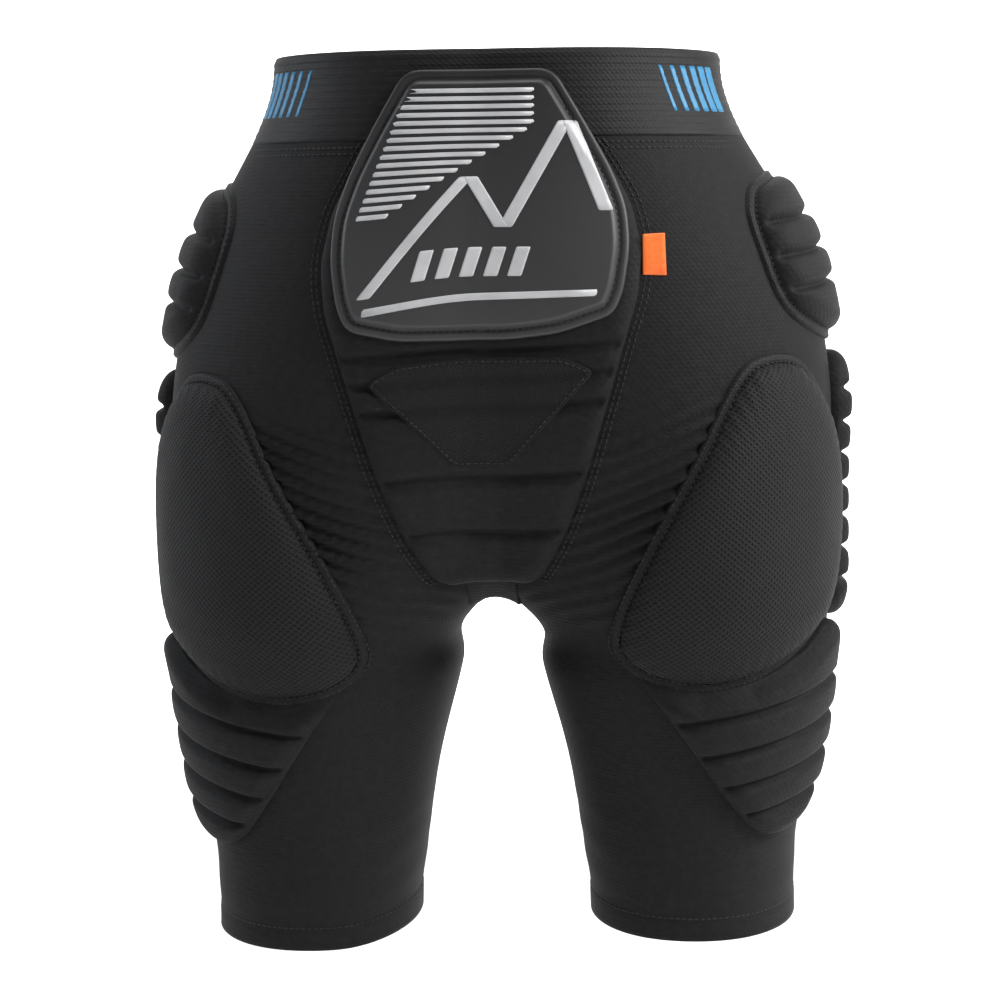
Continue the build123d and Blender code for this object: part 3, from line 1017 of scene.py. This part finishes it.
def bindings():
    """Folded tape round the thigh and hip pads, with two rows of stitches."""
    for name, outline, turn in (("thigh_pad", THIGH_PAD, BACK_FACING), ("hip_pad", HIP_PAD, 90.0)):
        curve = closed_curve(np.array(outline) * MM, 420)
        path_curve = curve + outward(curve) * 1.6 * MM
        path, normals = laid_path(path_curve, turn, 0.0)
        loops = []
        for offset, lift in ((0.1 * MM, 2.65 * MM), (3.2 * MM, 2.1 * MM)):
            line = curve + outward(curve) * offset
            line = np.vstack([line, line[:1]])
            loops.append(laid_path(line, turn, lift))
        for side_name, side in SIDES.items():
            tape = sweep(f"{name}_tape_{side_name}", path, normals, TAPE_SECTION, TAPE, side)
            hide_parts(f"{name}_binding_{side_name}")
            follow(tape)
            thread = stitching(f"{name}_stitches_{side_name}", loops, side)
            follow(thread)


bindings()


def ring_line(z, lift):
    """Closed path round the right leg at height z."""
    turn = np.linspace(0, 2 * math.pi, 400)
    r = reach_at(np.full_like(turn, z), turn % (2 * math.pi)) + FABRIC + lift
    path = np.stack([mid_x(z) + r * np.cos(turn), MID_Y + r * np.sin(turn), np.full_like(turn, z)], 1)
    normals = np.stack([np.cos(turn), np.sin(turn), np.zeros_like(turn)], 1)
    return path, normals


def hem_details():
    for side_name, side in SIDES.items():
        thread = stitching(f"hem_stitches_{side_name}", [ring_line(HEM_TOP, 0.2 * MM)], side)
        follow(thread)
        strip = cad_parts[f"hem_gripper_{side_name}"]
        strip.data.materials.clear()
        strip.data.materials.append(SILICONE)


hem_details()


def band_seam():
    """Two rows of stitches under the waistband."""
    share = np.linspace(0, 1, 500)
    rows = []
    for drop, lift in ((3.0 * MM, 0.4 * MM), (6.0 * MM, 0.4 * MM)):
        z = BAND_BOTTOM - drop
        front, back = seam_angle(z, True), seam_angle(z, False)
        turn = (math.pi - front) * (1 - share) - (math.pi - back) * share
        r = reach_at(np.full_like(turn, z), turn % (2 * math.pi)) + FABRIC + lift
        path = np.stack([mid_x(z) + r * np.cos(turn), MID_Y + r * np.sin(turn), np.full_like(turn, z)], 1)
        normals = np.stack([np.cos(turn), np.sin(turn), np.zeros_like(turn)], 1)
        rows.append((path, normals))
    for side_name, side in SIDES.items():
        thread = stitching(f"waist_seam_{side_name}", rows, side)
        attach(thread, "pelvis")


band_seam()


def waist_prints():
    """Slanted blue bars that thin out towards the back."""
    for side_name, side in SIDES.items():
        parts = []
        for k in range(6):
            width = 7.5 - 1.0 * k
            x = 58 - 8.2 * k
            outline = [(x, -9), (x + width, -9), (x + width + 7, -33), (x + 7, -33)]
            parts.append(raised(outline, BAND, 42.0, 0.3 * MM, 5, 60))
        parts = [(v * np.array([side, 1, 1]), f if side > 0 else [q[::-1] for q in f]) for v, f in parts]
        piece = merge(f"waist_bars_{side_name}", parts, BLUE)
        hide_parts(f"waist_print_{side_name}")
        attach(piece, "pelvis")


def surface_of(obj):
    mesh = obj.data
    verts = [v.co[:] for v in mesh.vertices]
    return Surface(verts, [tuple(p.vertices) for p in mesh.polygons], [v.normal[:] for v in mesh.vertices])


BAND = surface_of(bpy.data.objects["waistband_elastic"])
waist_prints()


def side_tab():
    """Soft orange tab sewn into the edge of the tailbone pad, with plain raised bars."""
    low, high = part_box("side_tag")
    length, height = (Vector((high.x - low.x, high.y - low.y)).length), high.z - low.z
    hinge = np.array([low.x, low.y + 0.8 * MM, (low.z + high.z) / 2])
    along = np.array([high.x - low.x, high.y - low.y - 1.0 * MM, 0])
    along /= np.linalg.norm(along)
    out = np.array([along[1], -along[0], 0])
    cols, rows = 14, 24
    verts = []
    for face in (1, -1):
        for i in range(rows):
            t = i / (rows - 1)
            for j in range(cols):
                s = j / (cols - 1)
                flare = 1 + 0.08 * (1 - t) * s
                edge = min(s, 1 - s, t * 1.8, (1 - t) * 1.8)
                thick = 0.75 * MM * min(1.0, 0.35 + 5 * edge)
                bar = 0.25 * MM if face > 0 and 0.3 < s < 0.85 and (i // 3) % 2 == 1 and 3 < i < 21 else 0
                curl = 0.8 * MM * s * s
                place = hinge + along * s * length * flare + out * (face * thick + bar + curl)
                verts.append(place + np.array([0, 0, (t - 0.5) * height * (1 + 0.05 * s)]))
    n = rows * cols
    faces = grid_faces(rows, cols) + grid_faces(rows, cols, flip=True, base=n)
    rim = [i * cols for i in range(rows)] + [(rows - 1) * cols + j for j in range(1, cols)]
    rim += [i * cols + cols - 1 for i in range(rows - 2, -1, -1)] + [j for j in range(cols - 2, 0, -1)]
    faces += [(rim[k], rim[(k + 1) % len(rim)], rim[(k + 1) % len(rim)] + n, rim[k] + n) for k in range(len(rim))]
    tab = new_piece("orange_tab", verts, faces, ORANGE)
    subdivide(tab)
    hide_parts("side_tag")
    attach(tab, "tag")


side_tab()


# ---- studio ------------------------------------------------------------------
def studio():
    scene = bpy.context.scene
    scene.view_settings.view_transform = "Standard"
    world = bpy.data.worlds.new("studio")
    scene.world = world
    world.use_nodes = True
    background = world.node_tree.nodes["Background"]
    background.inputs["Color"].default_value = (1, 1, 1, 1)
    background.inputs["Strength"].default_value = 0.17
    floor_z = HEM_BOTTOM - 0.16
    mat, tree, shader, coords = base_material("floor_paint", (0.9, 0.9, 0.9), 0.9)
    varied_color(tree, shader, coords, (0.88, 0.88, 0.88), (0.93, 0.93, 0.93), 3.0)
    profile = [(-4.0, 0.0), (1.6, 0.0), (2.4, 0.10), (3.0, 0.45), (3.3, 1.1), (3.4, 4.0)]
    verts = [(x, y, floor_z + z) for x in (-6.0, 6.0) for y, z in profile]
    n = len(profile)
    faces = [(j, n + j, n + j + 1, j + 1) for j in range(n - 1)]
    floor = new_piece("studio_floor", verts, faces, mat, worn=False)
    subdivide(floor, 3)
    for name, place, size, power, color in (
            ("key", (1.5, -1.0, 0.95), 0.7, 36, (1, 1, 1)),
            ("fill", (-1.7, -1.2, 0.5), 1.2, 6, (0.93, 0.96, 1)),
            ("rim_right", (1.6, 0.1, 0.5), 0.7, 22, (1, 1, 1)),
            ("rim_left", (-1.7, 0.3, 0.5), 0.8, 12, (0.92, 0.95, 1)),
            ("top", (0, 0.0, 1.7), 1.2, 22, (1, 1, 1)),
            ("backdrop", (0, 1.5, 1.0), 2.4, 120, (1, 1, 1))):
        lamp = bpy.data.lights.new(name, "AREA")
        lamp.energy, lamp.size, lamp.color = power, size, color
        obj = bpy.data.objects.new(name, lamp)
        obj.location = place
        target = Vector((0, 0, -0.24)) if name != "backdrop" else Vector((0, 3.3, 0.0))
        obj.rotation_euler = (target - Vector(place)).to_track_quat("-Z", "Y").to_euler()
        scene.collection.objects.link(obj)


CAMERA_ROLL = -0.7          # degrees


def camera():
    distance, height, yaw, pitch = 1.35, -0.066, math.radians(5.0), math.radians(7.8)
    cam = bpy.data.cameras.new("camera")
    cam.lens, cam.sensor_width = 85.2, 36.0
    cam.shift_x = -0.002
    obj = bpy.data.objects.new("camera", cam)
    obj.location = (distance * math.sin(yaw), -distance * math.cos(yaw), height)
    look = Vector((-math.sin(yaw) * math.cos(pitch), math.cos(yaw) * math.cos(pitch), -math.sin(pitch)))
    roll = Quaternion((0, 0, 1), math.radians(CAMERA_ROLL))
    obj.rotation_euler = (look.to_track_quat("-Z", "Y") @ roll).to_euler()
    bpy.context.scene.collection.objects.link(obj)
    bpy.context.scene.camera = obj


studio()
camera()
